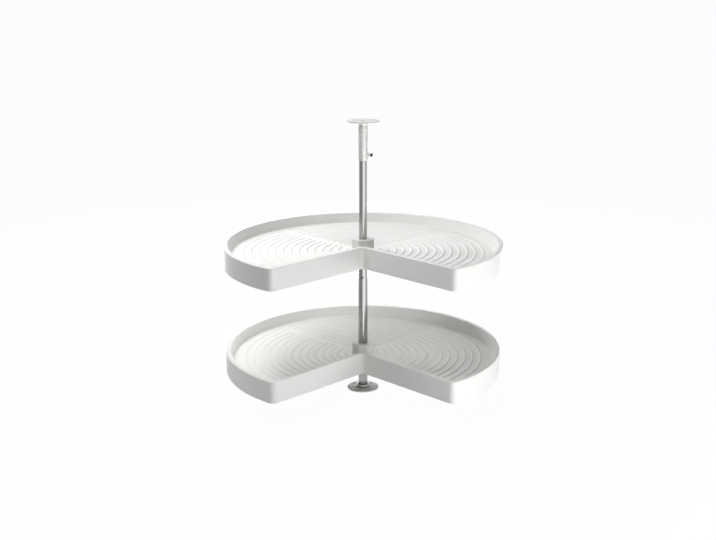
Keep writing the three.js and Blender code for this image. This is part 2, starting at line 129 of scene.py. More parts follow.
def reach(node):
    """Largest distance of a CAD node from the pole's axis, in millimetres."""
    vertices = frame["nodes"][node].data.vertices
    points = np.empty(3 * len(vertices))
    vertices.foreach_get("co", points)
    return np.hypot(points[0::3], points[1::3]).max() / MM


# ---- Nodes of the materials ----


def linear(colour):
    """Turns an sRGB hex colour into linear red, green and blue, with an alpha of 1."""
    parts = np.array([colour >> 16 & 255, colour >> 8 & 255, colour & 255]) / 255.0
    curved = np.where(parts <= 0.04045, parts / 12.92, ((parts + 0.055) / 1.055) ** 2.4)
    return (*curved.tolist(), 1.0)


def cells(size):
    """A noise's scale for features of about the given size in millimetres."""
    return 1.0 / (size * MM)


def add(tree, kind, inputs=None, **settings):
    """Adds a node. The inputs map a socket's name or number to a value, to another node's
    output, or to a node, which then gives the first output that it has in use."""
    made = tree.nodes.new(kind)
    for name, value in settings.items():
        setattr(made, name, value)
    for socket, value in (inputs or {}).items():
        if isinstance(value, bpy.types.Node):
            value = next(output for output in value.outputs if output.enabled)
        if isinstance(value, bpy.types.NodeSocket):
            tree.links.new(value, made.inputs[socket])
        else:
            made.inputs[socket].default_value = value
    return made


def start_material(name):
    """A material with an empty node tree, and the object's own coordinates in metres."""
    material = bpy.data.materials.new(name)
    material.use_nodes = True
    tree = material.node_tree
    tree.nodes.clear()
    return material, tree, add(tree, "ShaderNodeTexCoord").outputs["Object"]


# Sockets of the Mix and Map Range nodes whose names are used twice.
COLOUR_A, COLOUR_B, COLOUR_RESULT = 6, 7, 2
FROM_LOW, FROM_HIGH, LOW, HIGH = 1, 2, 3, 4


def end_material(material, colours, roughness, relief, **inputs):
    """Gives a material its shader. One pattern leads the colour from a first to a second value,
    one leads the roughness, and one raises the surface: by how many millimetres, how strongly."""
    tree = material.node_tree
    tint, *ends = colours
    first, second = (linear(end) if isinstance(end, int) else end for end in ends)
    gloss, least, most = roughness
    grain, distance, strength = relief
    shader = add(tree, "ShaderNodeBsdfPrincipled", {
        "Base Color": add(tree, "ShaderNodeMix", {
            "Factor": tint, COLOUR_A: first, COLOUR_B: second,
        }, data_type="RGBA"),
        "Roughness": add(tree, "ShaderNodeMapRange", {"Value": gloss, LOW: least, HIGH: most}),
        "Normal": add(tree, "ShaderNodeBump", {
            "Height": grain, "Distance": distance * MM, "Strength": strength,
        }),
        **inputs,
    })
    add(tree, "ShaderNodeOutputMaterial", {"Surface": shader})
    return material


# ---- Materials ----


def moulded_polypropylene():
    """White injection-moulded polypropylene: even white with a fine spark-eroded grain that
    keeps its sheen broad and soft, and faint cloudy flow marks from the mould."""
    material, tree, place = start_material("moulded_polypropylene")
    flow = add(tree, "ShaderNodeTexNoise", {"Vector": place, "Scale": cells(90.0), "Detail": 3.0})
    # The real grain is 0.3 mm, drawn coarser to show.
    grain = add(tree, "ShaderNodeTexNoise", {
        "Vector": place, "Scale": cells(1.6), "Detail": 2.0, "Roughness": 0.6,
    })
    return end_material(material, colours=(flow, 0xEDEDEB, 0xF1F1EF),
                        roughness=(flow, 0.42, 0.5), relief=(grain, 0.05, 0.35), IOR=1.49)


def moulded_polyamide():
    """White glass-filled polyamide of the hubs: a little drier and greyer than the trays, with
    clouds where the glass fibres come to the surface."""
    material, tree, place = start_material("moulded_polyamide")
    cloud = add(tree, "ShaderNodeTexNoise", {"Vector": place, "Scale": cells(14.0), "Detail": 3.0})
    grain = add(tree, "ShaderNodeTexNoise", {
        "Vector": place, "Scale": cells(1.0), "Detail": 2.0, "Roughness": 0.6,
    })
    return end_material(material, colours=(cloud, 0xE0E0DE, 0xE6E6E4),
                        roughness=(cloud, 0.45, 0.55), relief=(grain, 0.05, 0.4), IOR=1.53)


def turned_acetal():
    """Natural acetal of bushes and washers: creamy white and slippery, with turning marks."""
    material, tree, place = start_material("turned_acetal")
    flat = add(tree, "ShaderNodeMapping", {"Vector": place, "Scale": (0.2, 0.2, 4.0)})
    rings = add(tree, "ShaderNodeTexNoise", {"Vector": flat, "Scale": cells(1.2), "Detail": 1.0})
    return end_material(material, colours=(rings, 0xE2E0D8, 0xE9E7E0),
                        roughness=(rings, 0.28, 0.36), relief=(rings, 0.02, 0.3), IOR=1.48)


def chromed_tube():
    """Chromium plate on drawn steel tube: it mirrors the room in long straight bands, and has
    hair lines along the tube left from drawing and polishing."""
    material, tree, place = start_material("chromed_tube")
    long = add(tree, "ShaderNodeMapping", {"Vector": place, "Scale": (1.0, 1.0, 0.008)})
    lines = add(tree, "ShaderNodeTexNoise", {
        "Vector": long, "Scale": cells(0.9), "Detail": 3.0, "Roughness": 0.6,
    })
    patches = add(tree, "ShaderNodeTexNoise", {"Vector": place, "Scale": cells(30.0)})
    return end_material(material, colours=(patches, 0x9E9E9D, 0xA6A6A5),
                        roughness=(lines, 0.16, 0.24), relief=(lines, 0.01, 0.15), Metallic=1.0)


def satin_nickel():
    """Satin nickel plate of the sleeve and neck: brushed along the tube, soft broad glints. The
    matt plate scatters most of the light, so that it stays a pale even silver."""
    material, tree, place = start_material("satin_nickel")
    long = add(tree, "ShaderNodeMapping", {"Vector": place, "Scale": (1.0, 1.0, 0.02)})
    lines = add(tree, "ShaderNodeTexNoise", {
        "Vector": long, "Scale": cells(0.6), "Detail": 4.0, "Roughness": 0.7,
    })
    return end_material(material, colours=(lines, 0xDCDCDA, 0xE0E0DE),
                        roughness=(lines, 0.30, 0.34), relief=(lines, 0.02, 0.04), Metallic=0.26)


PLATE_TOP = 3.3  # millimetres: the base flange's plate lies below, its boss stands above
STEEP, LEVEL = 0.3, 0.95  # how far a face's normal points up or down, as a share


def plated_pressing(name, dark, light, steep_shade):
    """Plated pressed steel: dull pale silver, streaked outwards from the middle by the press
    and the plating bath. The streaks follow the angle round the pole. Steep faces above the
    plate, such as a boss's sides, have their own colour: on the base flange a painted shade."""
    material, tree, place = start_material(name)
    normal = add(tree, "ShaderNodeTexCoord").outputs["Normal"]
    rise = add(tree, "ShaderNodeSeparateXYZ", {"Vector": normal}).outputs["Z"]
    flat = add(tree, "ShaderNodeMapRange", {
        "Value": add(tree, "ShaderNodeMath", {0: rise}, operation="ABSOLUTE"),
        FROM_LOW: STEEP, FROM_HIGH: LEVEL,
    })
    parts = add(tree, "ShaderNodeSeparateXYZ", {"Vector": place}).outputs
    in_plate = add(tree, "ShaderNodeMath", {0: parts["Z"], 1: PLATE_TOP * MM},
                   operation="LESS_THAN")
    level = add(tree, "ShaderNodeMath", {0: flat, 1: in_plate}, operation="MAXIMUM")
    angle = add(tree, "ShaderNodeMath", {0: parts["Y"], 1: parts["X"]}, operation="ARCTAN2")
    spread = add(tree, "ShaderNodeCombineXYZ", {"X": angle, "Y": parts["Z"]})
    streaks = add(tree, "ShaderNodeTexNoise", {
        "Vector": spread, "Scale": 9.0, "Detail": 4.0, "Roughness": 0.65,
    })
    spangle = add(tree, "ShaderNodeTexNoise", {
        "Vector": place, "Scale": cells(3.0), "Detail": 3.0, "Roughness": 0.6,
    })
    face = add(tree, "ShaderNodeMix", {
        "Factor": streaks, COLOUR_A: linear(dark), COLOUR_B: linear(light),
    }, data_type="RGBA").outputs[COLOUR_RESULT]
    # Steep faces off the plate get the steep colour: a dark painted shade on the base flange's
    # boss.
    return end_material(material, colours=(level, steep_shade, face),
                        roughness=(spangle, 0.48, 0.58), relief=(spangle, 0.03, 0.1), Metallic=0.25)


def dark_screw_steel():
    """Dark zinc-nickel plate of the small screws: smoky grey with a faint sheen."""
    material, tree, place = start_material("dark_screw_steel")
    wear = add(tree, "ShaderNodeTexNoise", {"Vector": place, "Scale": cells(1.5), "Detail": 3.0})
    return end_material(material, colours=(wear, 0x4A4A4C, 0x67676A),
                        roughness=(wear, 0.35, 0.5), relief=(wear, 0.02, 0.4), Metallic=1.0)


def black_moulding():
    """Black moulded plastic of the knob and the foot plug: deep black, fine satin grain."""
    material, tree, place = start_material("black_moulding")
    grain = add(tree, "ShaderNodeTexNoise", {
        "Vector": place, "Scale": cells(0.6), "Detail": 2.0, "Roughness": 0.6,
    })
    return end_material(material, colours=(grain, 0x0E0E0F, 0x171718),
                        roughness=(grain, 0.42, 0.55), relief=(grain, 0.03, 0.4), IOR=1.5)


MATERIALS = {
    "tray_plastic": moulded_polypropylene(),
    "hub_plastic": moulded_polyamide(),
    "bearing_plastic": turned_acetal(),
    "plated_tube": chromed_tube(),
    "satin_tube": satin_nickel(),
    # The base flange's boss sides are painted dark as shade; the top flange's steep faces stay
    # about as pale as its face.
    "pressed_steel": plated_pressing("zinc_plated_steel", 0xDEDEDC, 0xEAEAE8, 0x4C4C4C),
    "top_steel": plated_pressing("nickel_plated_steel", 0xD6D6D4, 0xE0E0DE, 0xDADAD8),
    "screw_steel": dark_screw_steel(),
    "black_plastic": black_moulding(),
}

# ---- Meshes ----

WELD = 1e-7  # metres
SHARP_ANGLE = math.radians(38.0)


def grid_faces(rows, columns, first=0, close_rows=False, close_columns=True):
    """Quads between neighbouring points of a grid whose points are numbered row by row. Seen
    from outside, rows follow each other to the right of the way that the columns run."""
    across = np.arange(rows if close_rows else rows - 1)
    along = np.arange(columns if close_columns else columns - 1)
    row, column = (axis.ravel() for axis in np.meshgrid(across, along, indexing="ij"))
    next_row, next_column = (row + 1) % rows, (column + 1) % columns
    corners = [
        row * columns + column, next_row * columns + column,
        next_row * columns + next_column, row * columns + next_column,
    ]
    return first + np.stack(corners, axis=1)


def smooth(mesh):
    """Shades the faces smoothly, apart from edges sharper than the limit."""
    mesh.shade_smooth()
    mesh.set_sharp_from_angle(angle=SHARP_ANGLE)


def make_piece(name, points, face_sets, material):
    """Puts points in millimetres and sets of faces into one mesh, and joins points that
    coincide."""
    mesh = bpy.data.meshes.new(name)
    places = np.reshape(points, (-1, 3)) * MM
    faces = [face for face_set in face_sets for face in face_set.tolist()]
    mesh.from_pydata(places.tolist(), [], faces)
    welded = bmesh.new()
    welded.from_mesh(mesh)
    bmesh.ops.remove_doubles(welded, verts=welded.verts, dist=WELD)
    welded.to_mesh(mesh)
    welded.free()
    mesh.validate()
    smooth(mesh)
    mesh.materials.append(material)
    return show(name, mesh)


def fit(piece, node):
    """Lets a piece stand for a CAD node: it rides on the node's body, and the node is hidden."""
    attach(piece, BODY_OF[node])
    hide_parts(node)
    return piece


def fit_piece(node, how, points, face_sets, finish):
    """A piece that stands for a CAD node, and is named for it and for how it is made."""
    return fit(make_piece(f"{node}_{how}", points, face_sets, MATERIALS[finish]), node)


# ---- Profiles ----


def arc_points(radius, angles, centre=(0.0, 0.0)):
    """Points of a circle in the given directions from its centre."""
    return np.stack([centre[0] + radius * np.cos(angles), centre[1] + radius * np.sin(angles)], -1)


def angle_of(points):
    """Direction from the origin to a point, or to each of many."""
    return np.arctan2(points[..., 1], points[..., 0])


def at_height(plan, height):
    """Points of a plan put at a height, or at a height each."""
    return np.column_stack([plan, np.full(len(plan), height)])


def rounded(corners, steps=5):
    """A closed profile whose corners are arcs. Each corner is (across, along, radius): the arc
    touches both sides at radius / tan(half the corner's angle) from the corner, and its points
    are spread evenly over its turn."""
    count = len(corners)
    places = np.array([corner[:2] for corner in corners], dtype=float)
    points = []
    for index, (_, _, radius) in enumerate(corners):
        here = places[index]
        if radius == 0:
            points.append(here[None, :])
            continue
        back = places[index - 1] - here
        ahead = places[(index + 1) % count] - here
        back, ahead = back / np.linalg.norm(back), ahead / np.linalg.norm(ahead)
        half = math.acos(float(np.clip(back @ ahead, -1.0, 1.0))) / 2
        middle = (back + ahead) / np.linalg.norm(back + ahead)
        centre = here + middle * radius / math.sin(half)
        first, last = (
            angle_of(here + way * radius / math.tan(half) - centre) for way in (back, ahead)
        )
        turn = (last - first + math.pi) % (2 * math.pi) - math.pi
        angles = first + turn * np.linspace(0.0, 1.0, steps + 1)
        points.append(arc_points(radius, angles, centre))
    return np.concatenate(points)


def polygon_share(angles, sides):
    """How far a polygon's edge lies from its middle in each direction, as a share of its
    corner radius: cos(pi / sides) / cos(angle from the middle of the side)."""
    if sides == 0:
        return np.ones_like(angles)
    part = 2 * math.pi / sides
    return math.cos(part / 2) / np.cos((angles % part) - part / 2)


def turned_points(profile, sides=96, polygon=None, flute=None):
    """Points of a profile of (radius, height) carried clockwise round the Z axis. Rows of the
    polygon list are drawn in to that many straight sides, and a flute is a function of the
    angles and the profile that is added to the radius."""
    profile = np.asarray(profile, dtype=float)
    angles = np.linspace(2 * math.pi, 0.0, sides, endpoint=False)
    radii = np.repeat(profile[:, :1], sides, axis=1)
    if polygon is not None:
        radii = radii * np.stack([polygon_share(angles, count) for count in polygon])
    if flute is not None:
        radii = radii + flute(angles, profile)
    return np.dstack([arc_points(radii, angles), np.repeat(profile[:, 1:], sides, axis=1)])


def laid_outwards(points, angle, height):
    """Turns points from the Z axis to a line that leaves the pole at an angle and a height: up
    turns outwards and X turns down."""
    down, side, out = np.moveaxis(points, -1, 0)
    turn = math.radians(angle)
    return np.stack([
        out * math.cos(turn) - side * math.sin(turn),
        out * math.sin(turn) + side * math.cos(turn),
        height - down,
    ], axis=-1)


def turned(name, profile, material, sides=96, beside=None, axis=None, **shape):
    """A turned piece. The profile runs anticlockwise round its section, with the radius to
    the right and the height up. One that starts on the axis also ends there. The axis is the
    pole's, or a line beside it, or one that leaves it at an (angle, height)."""
    points = turned_points(profile, sides, **shape)
    if beside is not None:
        points = points + (*beside, 0.0)
    if axis is not None:
        points = laid_outwards(points, *axis)
    faces = grid_faces(len(points), sides, close_rows=profile[0][0] > 0)
    return make_piece(name, points, [faces], material)


def drill(piece, cutters):
    """Cuts the cutters out of a piece and removes them."""
    for cutter in cutters:
        modifier = piece.modifiers.new("drill", "BOOLEAN")
        modifier.operation = "DIFFERENCE"
        modifier.solver = "EXACT"
        modifier.object = cutter
    seen = bpy.context.evaluated_depsgraph_get()
    mesh = bpy.data.meshes.new_from_object(piece.evaluated_get(seen))
    mesh.name = piece.name
    piece.modifiers.clear()
    piece.data = mesh
    for cutter in cutters:
        bpy.data.objects.remove(cutter)
    smooth(mesh)
    return piece


def fit_turned(node, how, profile, finish, holes=(), **shape):
    """A turned piece that stands for a CAD node, with its holes cut out."""
    piece = turned(f"{node}_{how}", profile, MATERIALS[finish], **shape)
    return fit(drill(piece, holes) if holes else piece, node)


# ---- Sizes of the trays ----

TRAY_RADIUS = reach("lower_tray")
NOTCH_SET_BACK = 79.0  # from the pole's axis forward to where the notch walls meet
OUTER_CORNER = 19.0
INNER_CORNER = 9.0
TIP_ROUNDING = 9.0
TRAY_WALL = 3.0
LIP_WIDTH = 12.5
LIP_INNER_EDGE = 1.5
LIP_OUTER_EDGE = 2.2
SKIRT_HEIGHT = heights("lower_tray")[1] - heights("lower_tray")[0]
SKIRT_EDGE = 0.9
FLOOR_DEPTH = 28.0
FLOOR_INSET = 27.0
WALL_FOOT = 24.0  # inset at which the wall would meet the floor without its fillet
FOOT_FILLET = 4.0
UNDER_LIP_EDGE = 0.6
HUB_HOLE = 20.7
PAD_RADIUS = 36.0
PAD_THICKNESS = 2.0
PAD_EDGE = 0.5

BEAD_FIRST = 48.6
BEAD_PITCH = 22.1
BEAD_HALF_WIDTH = 4.8
BEAD_HEIGHT = 2.0
BEAD_WALL_GAP = 9.0
BEAD_END_GAP = 9.0
LEAST_GAP = 2.0  # between the notch's edge and a bead

# How finely the floor is divided.
HUB_STEPS = 7  # rows from the hub's hole to the first bead
BEAD_STEPS = 11  # rows across a bead
TIP_STEPS = 9  # closer rows where the floor's edge bends round the notch's tip
TIP_BAND = 11.5  # how far these reach
CORNER_STEPS = 10
ROW_GAP = 1.0  # between the closer rows and the others
END_STEPS = np.array([0.0, 0.7, 1.4, 2.1, 3.0])  # columns across a bead's round end
GAP_STEPS = 4
FIELD_STEPS = 46
BACK_STEPS = 24

DIAGONAL = math.sqrt(0.5)  # forward or sideways part of a step along a notch wall
TIP_CENTRE = NOTCH_SET_BACK + TIP_ROUNDING / DIAGONAL  # in front of the pole's axis
CORNER_START = -0.75 * math.pi  # direction in which the corner's rounding leaves the wall


def corner_radius(inset):
    return max(OUTER_CORNER - inset, INNER_CORNER)


def way_to(distance, start, along):
    """How far a line goes from its start until it is a given distance from the axis."""
    half = start @ along
    return -half + np.sqrt(half**2 - start @ start + distance**2)


def corner_centre(inset):
    """Centre of the rounding that touches the right notch wall and the round edge, both moved
    into the tray by the inset. It lies on a line beside the wall."""
    radius = corner_radius(inset)
    start = np.array([0.0, -NOTCH_SET_BACK + inset / DIAGONAL]) + radius * DIAGONAL
    along = np.array([DIAGONAL, -DIAGONAL])
    return start + along * way_to(TRAY_RADIUS - inset - radius, start, along)


def notch_parts(inset):
    """The right half of the notch: the tip's radius, the wall's first and last point, the
    corner's centre and radius, and the direction from the pole in which the round edge starts."""
    tip_radius = TIP_ROUNDING + inset
    centre, radius = corner_centre(inset), corner_radius(inset)
    first = np.array([tip_radius * DIAGONAL, -TIP_CENTRE + tip_radius * DIAGONAL])
    last = centre - radius * DIAGONAL
    return tip_radius, first, last, centre, radius, angle_of(centre)


def bead_rows():
    """Radii of the floor's rows: some across each bead, two on the way to the next one, and
    closer ones where the floor's edge bends round the notch's tip and round its corner."""
    firsts = np.arange(BEAD_FIRST, TRAY_RADIUS - FLOOR_INSET - BEAD_WALL_GAP, BEAD_PITCH)
    across = np.linspace(-BEAD_HALF_WIDTH, BEAD_HALF_WIDTH, BEAD_STEPS)
    gap = BEAD_PITCH - 2 * BEAD_HALF_WIDTH
    between_beads = BEAD_HALF_WIDTH + gap * np.array([1 / 3, 2 / 3])
    rows = (firsts[:, None] + np.concatenate([across, between_beads])).ravel()
    inner = np.linspace(HUB_HOLE, BEAD_FIRST - BEAD_HALF_WIDTH, HUB_STEPS)[:-1]
    tip_edge = TIP_CENTRE - TIP_ROUNDING - FLOOR_INSET
    round_tip = tip_edge + TIP_BAND * np.linspace(0.0, 1.0, TIP_STEPS) ** 2
    *_, centre, radius, rim_start = notch_parts(FLOOR_INSET)
    turns = np.linspace(CORNER_START, rim_start, CORNER_STEPS)
    round_corner = np.linalg.norm(arc_points(radius, turns, centre), axis=1)
    near_tip = (rows > tip_edge - ROW_GAP) & (rows < round_tip[-1] + ROW_GAP / 2)
    rows = rows[(rows < round_corner[0] - ROW_GAP) & ~near_tip]
    rows = np.concatenate([inner, rows, round_tip, round_corner])
    return np.unique(np.round(rows, 6)), firsts, tip_edge


ROWS, BEADS, TIP_EDGE = bead_rows()
EDGE_ROWS = ROWS[ROWS > TIP_EDGE - 1e-6]


def turn_to_circle(rows, distance, radius):
    """Angle at the pole between a circle's centre and the points where the rows cross the
    circle, by the law of cosines."""
    cosine = (rows**2 + distance**2 - radius**2) / (2 * rows * distance)
    return np.arccos(np.clip(cosine, -1.0, 1.0))


def edge_parameters():
    """Where the floor's edge meets the circle of each row, found once and used for every inset:
    as angles round the notch's tip, shares of the straight wall and shares of the corner's
    turn."""
    tip_radius, first, last, centre, radius, rim_start = notch_parts(FLOOR_INSET)
    length = np.linalg.norm(last - first)
    along = (last - first) / length
    on_tip = EDGE_ROWS < np.linalg.norm(first)
    on_corner = EDGE_ROWS > np.linalg.norm(last)

    rows = EDGE_ROWS[on_tip]
    turn = turn_to_circle(rows, TIP_CENTRE, tip_radius)
    tip_angles = np.arctan2(TIP_CENTRE - rows * np.cos(turn), rows * np.sin(turn))

    rows = EDGE_ROWS[~on_tip & ~on_corner]
    shares = way_to(rows, first, along) / length

    rows = EDGE_ROWS[on_corner]
    angles = rim_start - turn_to_circle(rows, np.linalg.norm(centre), radius)
    turns = angle_of(arc_points(rows, angles) - centre)
    return tip_angles, shares, (turns - CORNER_START) / (rim_start - CORNER_START)


TIP_ANGLES, WALL_SHARES, CORNER_SHARES = edge_parameters()


def notch_edge(inset):
    """Right half of the notch's edge, from the tip's middle to the round edge."""
    tip_radius, first, last, centre, radius, rim_start = notch_parts(inset)
    tip = arc_points(tip_radius, TIP_ANGLES, (0.0, -TIP_CENTRE))
    wall = first + WALL_SHARES[:, None] * (last - first)
    turns = CORNER_START + CORNER_SHARES * (rim_start - CORNER_START)
    return np.concatenate([tip, wall, arc_points(radius, turns, centre)])


def half_columns(row, start):
    """Angles of the columns in the right half for one row: the gap beside the notch wall, the
    right field of beads, the strip on the diagonal and half of the back field."""
    gap = math.asin(min(BEAD_END_GAP / row, 1.0))
    offset = (FLOOR_INSET + BEAD_WALL_GAP - NOTCH_SET_BACK * DIAGONAL) / row
    diagonal, back = math.pi / 4, math.pi / 2
    field = max(diagonal - math.acos(max(offset, -1.0)), start + LEAST_GAP / row)
    ends = END_STEPS / row
    right_end, back_start = diagonal - gap, diagonal + gap
    return np.concatenate([
        np.linspace(start, field, GAP_STEPS)[:-1],
        field + ends[:-1],
        np.linspace(field + ends[-1], right_end - ends[-1], FIELD_STEPS),
        (right_end - ends[:-1])[::-1],
        np.linspace(right_end, back_start, GAP_STEPS)[1:-1],
        back_start + ends[:-1],
        np.linspace(back_start + ends[-1], back, BACK_STEPS),
    ]), field, right_end, back_start


def bead_height(row, angles, field, right_end, back_start):
    """Height of the floor over one row: each bead is a rounded ridge, half a wave of a cosine
    across its width, whose ends are round because the height depends on the distance from the
    bead's middle line."""
    across = row - BEADS[np.argmin(np.abs(BEADS - row))]
    if abs(across) > BEAD_HALF_WIDTH:
        return np.zeros_like(angles)
    past_right = np.maximum((field - angles) * row, (angles - right_end) * row)
    past_end = np.minimum(past_right, (back_start - angles) * row) + BEAD_HALF_WIDTH
    distance = np.hypot(across, np.maximum(past_end, 0.0)) / BEAD_HALF_WIDTH
    return BEAD_HEIGHT * 0.5 * (1.0 + np.cos(math.pi * np.minimum(distance, 1.0)))


def floor_field():
    """The ribbed floor as rows of circles round the axis. Its first and last columns follow
    the notch's edge, and meet in front of the pole on the rows inside the notch's tip."""
    edge = notch_edge(FLOOR_INSET)
    starts = np.full(len(ROWS), -math.pi / 2)
    starts[len(ROWS) - len(edge):] = angle_of(edge)
    table = []
    for row, start in zip(ROWS, starts):
        angles, *ends = half_columns(row, start)
        right = at_height(arc_points(row, angles), bead_height(row, angles, *ends))
        left = right[-2::-1] * (-1.0, 1.0, 1.0)
        table.append(np.concatenate([right, left]))
    return np.stack(table)


FLOOR_FIELD = floor_field()


def rim_shares():
    """Where the floor's columns meet the round edge, as shares of its right half."""
    half = FLOOR_FIELD[-1, :(FLOOR_FIELD.shape[1] + 1) // 2]
    angles = angle_of(half)
    return (angles[1:] - angles[0]) / (math.pi / 2 - angles[0])


RIM_SHARES = rim_shares()


def outline(inset):
    """The whole tray seen from above, anticlockwise from the notch's tip, moved in by the
    inset. Every inset gives the same number of points, so two of them can be joined."""
    notch = notch_edge(inset)
    rim_start = angle_of(notch[-1])
    angles = rim_start + RIM_SHARES * (math.pi / 2 - rim_start)
    right = np.concatenate([notch, arc_points(TRAY_RADIUS - inset, angles)])
    left = right[-2:0:-1] * (-1.0, 1.0)
    return np.concatenate([right, left])


def shell_stations():
    """Inset and height against the rim of each loop, from the floor's edge up the slanted
    wall, over the lip, down the skirt and back under the lip to the floor's underside: a
    profile of straight sides with an arc in each corner. The bowl's outside runs parallel to
    the wall, a wall's thickness off it."""
    slant = math.hypot(WALL_FOOT - LIP_WIDTH, FLOOR_DEPTH)
    lean = (WALL_FOOT - LIP_WIDTH) / FLOOR_DEPTH
    across = TRAY_WALL * slant / FLOOR_DEPTH
    return rounded([
        (FLOOR_INSET, -FLOOR_DEPTH, 0.0),
        (WALL_FOOT, -FLOOR_DEPTH, FOOT_FILLET),
        (LIP_WIDTH, 0.0, LIP_INNER_EDGE),
        (0.0, 0.0, LIP_OUTER_EDGE),
        (0.0, -SKIRT_HEIGHT, SKIRT_EDGE),
        (TRAY_WALL, -SKIRT_HEIGHT, SKIRT_EDGE),
        (TRAY_WALL, -TRAY_WALL, LIP_INNER_EDGE),
        (LIP_WIDTH + TRAY_WALL * lean - across, -TRAY_WALL, UNDER_LIP_EDGE),
        (WALL_FOOT + TRAY_WALL * lean - across, -FLOOR_DEPTH - TRAY_WALL, FOOT_FILLET),
        (FLOOR_INSET, -FLOOR_DEPTH - TRAY_WALL, 0.0),
    ], steps=6)


def make_tray(node):
    """One moulding: the ribbed floor, the shell of loops round it, and a flat underside with
    the thicker pad and the hole of the hub."""
    rim = heights(node)[1]
    top, underside = rim - FLOOR_DEPTH, rim - FLOOR_DEPTH - TRAY_WALL
    floor = FLOOR_FIELD + (0.0, 0.0, top)
    shell = np.stack([
        at_height(outline(inset), rim + height) for inset, height in shell_stations()
    ])
    hole = floor[0, :-1, :2]
    pad_edge = hole * PAD_RADIUS / HUB_HOLE
    pad_bottom = underside - PAD_THICKNESS
    pad = np.stack([
        at_height(pad_edge, underside),
        at_height(pad_edge, pad_bottom + PAD_EDGE),
        at_height(pad_edge * (1.0 - PAD_EDGE / PAD_RADIUS), pad_bottom),
        at_height(hole, pad_bottom),
        at_height(hole, top),
    ])
    points = np.concatenate([part.reshape(-1, 3) for part in (floor, shell, pad)])
    shell_first = floor.shape[0] * floor.shape[1]
    pad_first = shell_first + shell.shape[0] * shell.shape[1]
    # The flat underside lies between the shell's last loop and the pad's first, which follow
    # each other in the points.
    loops = [shell[-1].tolist(), pad[0].tolist()]
    flat = np.array(tessellate_polygon(loops)) + pad_first - shell.shape[1]
    corners = points[flat]
    facing_up = np.cross(corners[:, 1] - corners[:, 0], corners[:, 2] - corners[:, 0])[:, 2] > 0
    flat[facing_up] = flat[facing_up][:, ::-1]
    return fit_piece(node, "moulding", points, [
        grid_faces(*floor.shape[:2], close_columns=False),
        grid_faces(*shell.shape[:2], shell_first),
        grid_faces(*pad.shape[:2], pad_first),
        flat,
    ], "tray_plastic")


WEB_COUNT = 9
WEB_SPREAD = 240.0  # degrees from the first to the last
WEB_DEPTH = 9.0
WEB_ROOT = 1.0  # half thickness at the floor
WEB_EDGE = 0.7  # half thickness at the free edge
WEB_EDGE_POINTS = 7
WEB_SINK = 0.6  # how far the webs reach up into the floor
WEB_STEPS = 3
WEB_IN_PAD = 1.0  # how far the straight webs reach into the pad and into the skirt
WEB_IN_SKIRT = 0.5
RING_WEB_RADIUS = 215.0
RING_WEB_STEPS = 121


def web_section(top):
    """A web's section as (side, height): drawn in towards its rounded free edge."""
    bottom = top - WEB_SINK - WEB_DEPTH
    angles = np.linspace(math.pi, 2 * math.pi, WEB_EDGE_POINTS)
    edge = arc_points(WEB_EDGE, angles, (0.0, bottom + WEB_EDGE))
    return np.concatenate([[[-WEB_ROOT, top]], edge, [[WEB_ROOT, top]]])


def web_faces(stations, sides, first):
    """Quads along a web and one face over each of its two ends."""
    body = grid_faces(stations, sides, first)[:, ::-1]
    start = first + np.arange(sides)[::-1][None, :]
    end = first + (stations - 1) * sides + np.arange(sides)[None, :]
    return [body, start, end]


def make_webs(node):
    """Webs under the floor: straight ones that leave the pad, and a ring that crosses them."""
    section = web_section(heights(node)[1] - FLOOR_DEPTH - TRAY_WALL + WEB_SINK)
    inner, outer = PAD_RADIUS - WEB_IN_PAD, TRAY_RADIUS - TRAY_WALL + WEB_IN_SKIRT
    directions = np.radians(90.0 + WEB_SPREAD * (np.arange(WEB_COUNT) / (WEB_COUNT - 1) - 0.5))
    points, faces, first = [], [], 0
    for direction in directions:
        along = np.array([math.cos(direction), math.sin(direction), 0.0])
        aside = np.array([-along[1], along[0], 0.0])
        line = np.linspace(inner, outer, WEB_STEPS)[:, None, None] * along
        across = section[:, :1] * aside + section[:, 1:] * (0.0, 0.0, 1.0)
        points.append((line + across[None]).reshape(-1, 3))
        faces += web_faces(WEB_STEPS, len(section), first)
        first += WEB_STEPS * len(section)
    turns = np.linspace(directions[0], directions[-1], RING_WEB_STEPS)
    ring = arc_points(RING_WEB_RADIUS - section[:, 0], turns[:, None]).reshape(-1, 2)
    points.append(at_height(ring, np.tile(section[:, 1], len(turns))))
    faces += web_faces(len(turns), len(section), first)
    return fit_piece(node, "webs", np.concatenate(points), faces, "tray_plastic")


# ---- Hubs ----

RUNNING_GAP = 0.3  # between a piece and the one that it turns, slides or sits on

HUB_HALF_WIDTH = 30.5
HUB_CORNER = 5.0
HUB_EDGE = 1.2
HUB_SEAT_GAP = 0.3  # between the tray's floor and the octagon's underside
HUB_TOP = 4.0
HUB_BORE = 17.8
HUB_TUBE = 20.4
HUB_HOLE_GAP = 0.6
HUB_HOLE_EDGE = 0.8
HUB_BORE_CHAMFER = 0.4
HUB_TUBE_CHAMFER = 0.6
HUB_EDGE_STEPS = 5
OCTAGON = 8
HUB_LEAST_CORNER = 0.4
HUB_CORNER_POINTS = 8


def octagon(inset):
    """A rounded octagon moved in by the inset: eight arcs, whose centres stay in place while
    the arcs shrink, and whose ends the flats join."""
    radius = max(HUB_CORNER - inset, HUB_LEAST_CORNER)
    half_turn = math.pi / OCTAGON
    distance = (HUB_HALF_WIDTH - inset - radius) / math.cos(half_turn)
    middles = (2 * np.arange(OCTAGON) + 1) * half_turn
    turns = middles[:, None] + np.linspace(-half_turn, half_turn, HUB_CORNER_POINTS)
    centres = arc_points(distance, middles[:, None])
    return (centres + arc_points(radius, turns)).reshape(-1, 2)


